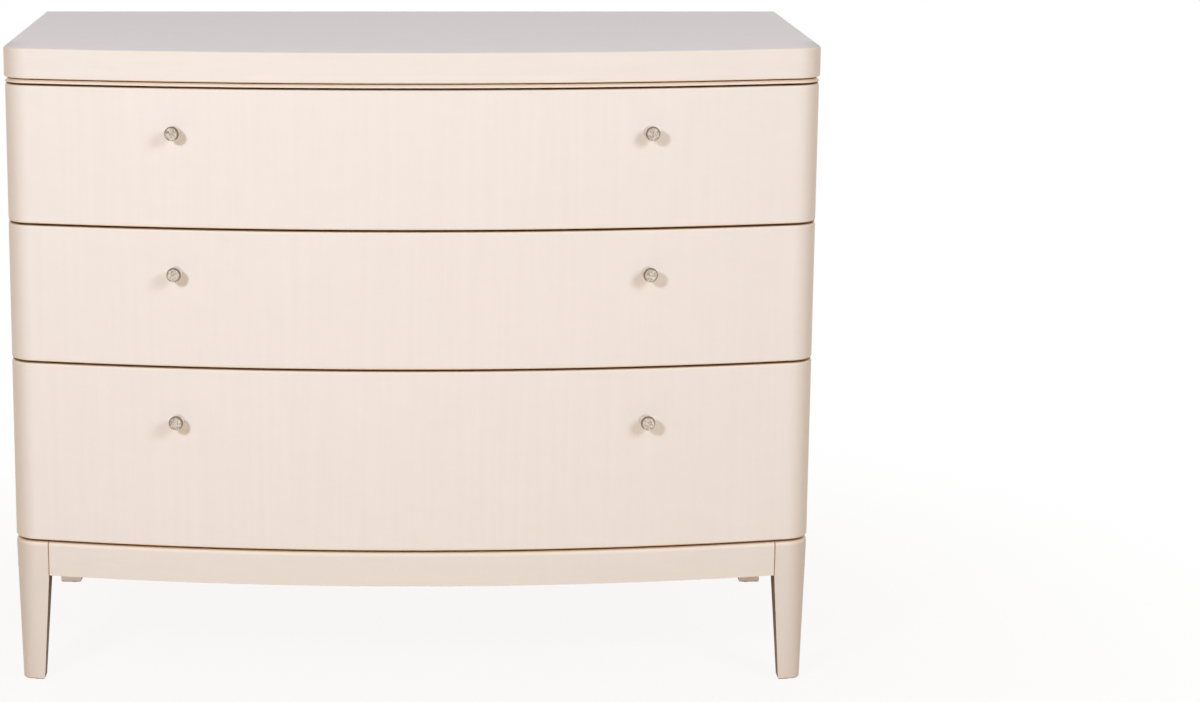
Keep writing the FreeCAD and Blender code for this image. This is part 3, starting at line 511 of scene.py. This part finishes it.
# copies one shape to every seat, turned to face along the seat's own direction and spun by chance
def makeSetTree(name):
    tree = bpy.data.node_groups.new(name, "GeometryNodeTree")
    for socket, kind in (("Seats", "Geometry"), ("Shape", "Object"), ("Finish", "Material"),
                         ("Spin", "Float"), ("Seed", "Int")):
        tree.interface.new_socket(socket, in_out="INPUT", socket_type="NodeSocket" + kind)
    tree.interface.new_socket("Set", in_out="OUTPUT", socket_type="NodeSocketGeometry")
    given = tree.nodes.new("NodeGroupInput")
    take = {socket.name: Wire(tree, socket) for socket in given.outputs if socket.name}
    facing = take["Seats"].node("GeometryNodeInputNamedAttribute", {"data_type": "FLOAT_VECTOR"},
                                {"Name": "facing"})
    aligned = facing.node("FunctionNodeAlignRotationToVector", {"axis": "Z"}, {"Vector": facing})
    shape = facing.node("GeometryNodeObjectInfo", {}, {"Object": take["Shape"]}, "Geometry")
    placed = facing.node("GeometryNodeInstanceOnPoints", {},
                         {"Points": take["Seats"], "Instance": shape, "Rotation": aligned})
    chance = facing.node("FunctionNodeRandomValue", {"data_type": "FLOAT"},
                         {"Min": 0.0, "Max": take["Spin"], "Seed": take["Seed"]}, 1)
    turn = facing.node("ShaderNodeCombineXYZ", {}, {"Z": chance})
    spun = facing.node("GeometryNodeRotateInstances", {}, {"Instances": placed, "Rotation": turn})
    real = facing.node("GeometryNodeRealizeInstances", {}, {"Geometry": spun})
    painted = facing.node("GeometryNodeSetMaterial", {}, {"Geometry": real, "Material": take["Finish"]})
    facing.node("NodeGroupOutput", {}, {"Set": painted})
    return tree


setTree = makeSetTree("copiesAtSeats")
setInputs = {item.name: item.identifier for item in setTree.interface.items_tree if item.in_out == "INPUT"}


def makeSet(name, seats, shape, finish, spin, seed):
    mesh = bpy.data.meshes.new(name + "Seats")
    mesh.from_pydata([place for place, facing in seats], [], [])
    facing = mesh.attributes.new("facing", "FLOAT_VECTOR", "POINT")
    facing.data.foreach_set("vector", [number for place, facing in seats for number in facing])
    piece = bpy.data.objects.new(name, mesh)
    scene.collection.objects.link(piece)
    copies = piece.modifiers.new("copies", "NODES")
    copies.node_group = setTree
    for socket, value in (("Shape", shape), ("Finish", finish), ("Spin", spin), ("Seed", seed)):
        copies[setInputs[socket]] = value
    graph = bpy.context.evaluated_depsgraph_get()
    plain = bpy.data.meshes.new_from_object(piece.evaluated_get(graph))
    piece.modifiers.clear()
    piece.data = plain
    bpy.data.meshes.remove(mesh)
    return piece


# a shape to copy from, taken out of the scene after use
def patternOf(name, mesh):
    shape = bpy.data.objects.new(name, mesh)
    scene.collection.objects.link(shape)
    return shape


knobTurning = {
    "halfSpacing": 0.2625, "projection": 0.018, "sides": 64,
    "baseRadius": 0.0065, "baseHeight": 0.002, "seatBevel": 0.0003, "baseRound": 0.0005, "neckInset": 0.0006,
    "waistRadius": 0.00525, "waistHeight": 0.007, "neckSteps": 8, "flareSteps": 10,
    "headStart": 0.013, "rimRadius": 0.0018, "rimSteps": 12,
    "faceRadius": 0.008, "crown": 0.00022, "faceSteps": 6,
}
# painted reflection on the plating: the rim is darkened as a reflection of dark surroundings, its underside
# lit as a reflection of the bright front below, and the neck light as a reflection of the cream front, fading
# to painted shade towards the head
knobShades = {"headMargin": 0.001, "rimFrom": 0.0063, "rimWidth": 0.0009, "underLitFrom": 0.80, "underLitWidth": 0.15,
              "underLitTone": 0.8, "neckFade": 0.5}


def knobLine():
    knob = knobTurning
    wide, base = knob["baseRadius"], knob["baseHeight"]
    line = [(0.0, 0.0), (wide - knob["seatBevel"], 0.0), (wide, knob["seatBevel"])]
    line.append((wide, base - knob["baseRound"]))
    line += arc((wide - knob["baseRound"], base - knob["baseRound"]), knob["baseRound"], 0, 80, 4)[1:]
    low = (wide - knob["neckInset"], base)
    waist = (knob["waistRadius"], knob["waistHeight"])
    head = (knob["faceRadius"], knob["headStart"])
    for step in range(1, knob["neckSteps"] + 1):       # curved neck that flares out to the head
        part = step / knob["neckSteps"]
        line.append((low[0] + (waist[0] - low[0]) * math.sin(part * math.pi / 2),
                     low[1] + (waist[1] - low[1]) * part))
    for step in range(1, knob["flareSteps"] + 1):
        part = step / knob["flareSteps"]
        line.append((waist[0] + (head[0] - waist[0]) * (1 - math.cos(part * math.pi / 2)),
                     waist[1] + (head[1] - waist[1]) * part))
    rim = knob["rimRadius"]
    shoulder = knob["projection"] - knob["crown"]
    line += arc((knob["faceRadius"] - rim, shoulder - rim), rim, 0, 84, knob["rimSteps"])
    flat = line[-1]
    for step in range(1, knob["faceSteps"] + 1):       # face with a slight crown
        part = step / knob["faceSteps"]
        line.append((flat[0] * (1 - part), flat[1] + (knob["projection"] - flat[1]) * (1 - (1 - part) ** 2)))
    return line


def clamp(value):
    return min(1.0, max(0.0, value))


def shadeKnob(mesh):
    names = ("rimShade", "neckShade")
    for name in names:
        mesh.attributes.new(name, "FLOAT", "POINT")
    rimShade, neckShade = (mesh.attributes[name].data for name in names)
    look, headStart = knobShades, knobTurning["headStart"]
    for corner, rim, neck in zip(mesh.vertices, rimShade, neckShade):
        # painted reflection on the head's rim, painted light and shade on the neck
        if corner.co.z > headStart + look["headMargin"]:
            out = math.hypot(corner.co.x, corner.co.y)
            litEdge = clamp((-corner.co.y / max(out, 1e-6) - look["underLitFrom"]) / look["underLitWidth"])
            rim.value = clamp((out - look["rimFrom"]) / look["rimWidth"]) * (1 - look["underLitTone"] * litEdge)
        else:
            neck.value = 1.0 - look["neckFade"] * min(1.0, corner.co.z / headStart)


knobMesh = turnedMesh("knobShape", knobLine(), knobTurning["sides"])
shadeKnob(knobMesh)
for face in knobMesh.polygons:
    face.use_smooth = True
knobShape = patternOf("knobShape", knobMesh)
sine = knobTurning["halfSpacing"] / bow["radius"]      # the knobs stand square to the bow
cosine = math.sqrt(1 - sine * sine)
for turn, drawer in enumerate(drawers):
    seats = []
    for side, sign in (("left", -1), ("right", 1)):
        low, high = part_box(drawer + "_" + side + "_knob")
        across, forward = sign * knobTurning["halfSpacing"], bow["axisY"] - bow["radius"] * cosine
        seats.append(((across, forward, (low.z + high.z) / 2), (sign * sine, -cosine, 0.0)))
    knobs = makeSet(drawer + "_knobs", seats, knobShape, nickel, 0.0, turn)
    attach(knobs, drawer)
    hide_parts(drawer + "_left_knob", drawer + "_right_knob")
bpy.data.objects.remove(knobShape)
print("knobs turned:", len(knobMesh.polygons), "faces each")

screwKinds = {
    "wood": {"radius": 0.002, "head": 0.004, "headHeight": 0.002,
             "cross": 0.0026, "crossWidth": 0.0008, "crossDepth": 0.0013},
    "slide": {"radius": 0.00175, "head": 0.0035, "headHeight": 0.0012,
              "cross": 0.0022, "crossWidth": 0.0007, "crossDepth": 0.0008},
    "knob": {"radius": 0.002, "head": 0.00425, "headHeight": 0.0026,
             "cross": 0.0027, "crossWidth": 0.0008, "crossDepth": 0.0015},
}
screwForm = {"tip": 0.004, "sides": 28, "wallShare": 0.4, "domeAngles": (22, 45, 68, 90),
             "crossFoot": 0.55, "crossMouth": 1.15, "cutAbove": 0.001, "firstSeed": 20}


# two crossed wedges that cut the recess
def crossMesh(screw):
    form = bmesh.new()
    reach, half = screw["cross"], screw["crossWidth"] / 2
    for wide, deep in ((reach, half), (half, reach)):
        for corner in bmesh.ops.create_cube(form, size=2.0)["verts"]:
            lower = corner.co.z < 0
            taper = screwForm["crossFoot"] if lower else screwForm["crossMouth"]
            level = -screw["crossDepth"] if lower else screwForm["cutAbove"]
            corner.co = Vector((corner.co.x * wide * taper, corner.co.y * deep * taper,
                                screw["headHeight"] + level))
    mesh = bpy.data.meshes.new("cross")
    form.to_mesh(mesh)
    form.free()
    return mesh


# pan head with a cross recess on a pointed shank; the seat is at the origin and the head points along +Z
def screwMesh(kind, length):
    screw = screwKinds[kind]
    head, top = screw["head"], screw["headHeight"]
    tip = min(screwForm["tip"], length / 3)
    line = [(0.0, -length), (screw["radius"], tip - length), (screw["radius"], 0.0), (head, 0.0)]
    line.append((head, top * screwForm["wallShare"]))
    dome = top * (1 - screwForm["wallShare"])
    for angle in screwForm["domeAngles"]:
        line.append((head - dome + dome * math.cos(math.radians(angle)),
                     top - dome + dome * math.sin(math.radians(angle))))
    line.append((0.0, top))
    blank = patternOf(kind + "ScrewBlank", turnedMesh(kind + "ScrewShape", line, screwForm["sides"]))
    cross = patternOf("cross", crossMesh(screw))
    cut = blank.modifiers.new("recess", "BOOLEAN")
    cut.object = cross
    cut.operation = "DIFFERENCE"
    cut.solver = "EXACT"
    cut.use_self = True
    graph = bpy.context.evaluated_depsgraph_get()
    cutMesh = bpy.data.meshes.new_from_object(blank.evaluated_get(graph))
    for used in (blank, cross):
        bpy.data.objects.remove(used)
    for face in cutMesh.polygons:
        face.use_smooth = False
    return cutMesh


# node that the screws stand in for, body they ride on, kind, and the way their heads face
screwSets = (
    ("top_screws", "case", "wood", (0, 0, -1)),
    ("base_screws", "case", "wood", (0, 0, -1)),
    ("back_screws", "case", "wood", (0, 1, 0)),
    ("case_slide_screws", "case", "slide", "inwards"),
    *((drawer + "_slide_screws", drawer, "slide", "outwards") for drawer in drawers),
    *((drawer + "_knob_screws", drawer, "knob", "knobAxis") for drawer in drawers),
)
screwCount = 0
for turn, (name, body, kind, facing) in enumerate(screwSets):
    headHeight = screwKinds[kind]["headHeight"]
    seats = []
    for island in islandsOf(name):
        middle = (island.min(0) + island.max(0)) / 2
        sign = math.copysign(1.0, middle[0])
        if facing == "inwards":
            out = Vector((-sign, 0, 0))
        elif facing == "outwards":
            out = Vector((sign, 0, 0))
        elif facing == "knobAxis":
            out = Vector((-sign * sine, cosine, 0))
            middle = island.mean(0)      # the box of a slanted screw isn't centred on its axis
        else:
            out = Vector(facing)
        reach = island @ np.array(out)
        length = reach.max() - reach.min() - headHeight
        axisPoint = Vector(middle)
        seats.append((axisPoint + out * (reach.max() - headHeight - axisPoint.dot(out)), out))
    shape = patternOf(name + "Shape", screwMesh(kind, float(length)))
    screws = makeSet(name + "_visible", seats, shape, screwMetal, math.tau, screwForm["firstSeed"] + turn)
    bpy.data.objects.remove(shape)
    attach(screws, body)
    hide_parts(name)
    screwCount += len(seats)
print("screws set:", screwCount)


# stage: pale floor that fades to white, soft lamps from the upper left and right, and the camera
floorLook = {"size": 14.0, "shade": colour(0.84, 0.64, 0.39), "whiten": 0.905, "whiteRing": (0.40, 1.2)}


# rays that should meet a white background: straight from the camera, mirrored or through glass
def seenRays(ray):
    camera, glossy, glass = (ray.node("ShaderNodeLightPath", out="Is " + kind + " Ray")
                             for kind in ("Camera", "Glossy", "Transmission"))
    return camera + glossy + glass


def makeFloor():
    finish, place = startFinish("paleFloor")
    away = place.node("ShaderNodeVectorMath", {"operation": "LENGTH"}, {0: place}, "Value")
    white = floorLook["whiten"] + away.rise(*floorLook["whiteRing"]) * (1 - floorLook["whiten"])
    cloth = place.node("ShaderNodeBsdfDiffuse", {}, {"Color": floorLook["shade"]})
    glow = place.node("ShaderNodeEmission", {}, {"Color": colour(1, 1, 1), "Strength": 1.0})
    both = place.node("ShaderNodeMixShader", {}, {0: seenRays(place) * white, 1: cloth, 2: glow})
    place.node("ShaderNodeOutputMaterial", {}, {"Surface": both})
    half = floorLook["size"] / 2
    mesh = bpy.data.meshes.new("floor")
    mesh.from_pydata([(-half, -half, 0), (half, -half, 0), (half, half, 0), (-half, half, 0)], [],
                     [(0, 1, 2, 3)])
    mesh.materials.append(finish)
    floor = bpy.data.objects.new("floor", mesh)
    scene.collection.objects.link(floor)


skyLook = {
    "front": colour(0.46, 0.31, 0.10), "around": colour(0.78, 0.67, 0.49), "behind": colour(1.66, 1.53, 1.40),
    "zenith": colour(0.258, 0.277, 0.362),
    "frontSpan": (0.1, 0.9), "behindSpan": (0.0, 0.6), "zenithSpan": (0.0, 0.8),
}


# a dim warm sky in front keeps the knobs' shadows deep, and a bright one behind lights the sides and the back
def makeSky():
    scene.world = bpy.data.worlds.new("studio")
    scene.world.use_nodes = True
    scene.world.node_tree.nodes.clear()
    ray = Wire(scene.world.node_tree)
    towards = ray.node("ShaderNodeTexCoord", out="Generated")
    backwards, upwards = towards.part("Y"), towards.part("Z")
    level = (0 - backwards).rise(*skyLook["frontSpan"]).between(skyLook["around"], skyLook["front"])
    level = level.blendTo(skyLook["behind"], backwards.rise(*skyLook["behindSpan"]))
    level = level.blendTo(skyLook["zenith"], upwards.rise(*skyLook["zenithSpan"]))
    fill = ray.node("ShaderNodeBackground", {}, {"Color": level, "Strength": 1.0})
    white = ray.node("ShaderNodeBackground", {}, {"Color": colour(1, 1, 1), "Strength": 1.0})
    both = ray.node("ShaderNodeMixShader", {}, {0: seenRays(ray), 1: fill, 2: white})
    ray.node("ShaderNodeOutputWorld", {}, {"Surface": both})


lampTarget = Vector((0, -0.15, 0.42))
lampLooks = {
    "upperLeft": {"place": (-1.48, -2.72, 1.78), "size": 0.44, "power": 56.6, "lightTint": (0.712, 0.84, 1.0)},
    "upperRight": {"place": (2.10, -2.62, 2.02), "size": 1.30, "power": 52.0, "lightTint": (0.712, 0.84, 1.0)},
}


def makeLamps():
    for name, look in lampLooks.items():
        lamp = bpy.data.lights.new(name, "AREA")
        lamp.shape = "DISK"
        lamp.size = look["size"]
        lamp.energy = look["power"]
        lamp.color = look["lightTint"]
        stand = bpy.data.objects.new(name, lamp)
        stand.location = look["place"]
        stand.visible_camera = False
        stand.visible_glossy = False               # no lamp glare on the paint when seen against the light
        stand.rotation_euler = (lampTarget - stand.location).to_track_quat("-Z", "Y").to_euler()
        scene.collection.objects.link(stand)


cameraLook = {"place": (-0.0159, -3.3272, 1.080), "pitch": 10.914, "sensor": 36.0, "focalPixels": 2842.1,
              "frameWidth": 1200.0, "shiftX": 0.1685, "shiftY": -0.060}


def makeCamera():
    lens = bpy.data.cameras.new("camera")
    lens.sensor_width = cameraLook["sensor"]
    lens.lens = cameraLook["focalPixels"] / cameraLook["frameWidth"] * lens.sensor_width
    lens.shift_x = cameraLook["shiftX"]
    lens.shift_y = cameraLook["shiftY"]
    eye = bpy.data.objects.new("camera", lens)
    eye.location = cameraLook["place"]
    eye.rotation_euler = (math.radians(90 - cameraLook["pitch"]), 0, 0)
    scene.collection.objects.link(eye)
    scene.camera = eye


makeFloor()
makeSky()
makeLamps()
makeCamera()
print("stage set")
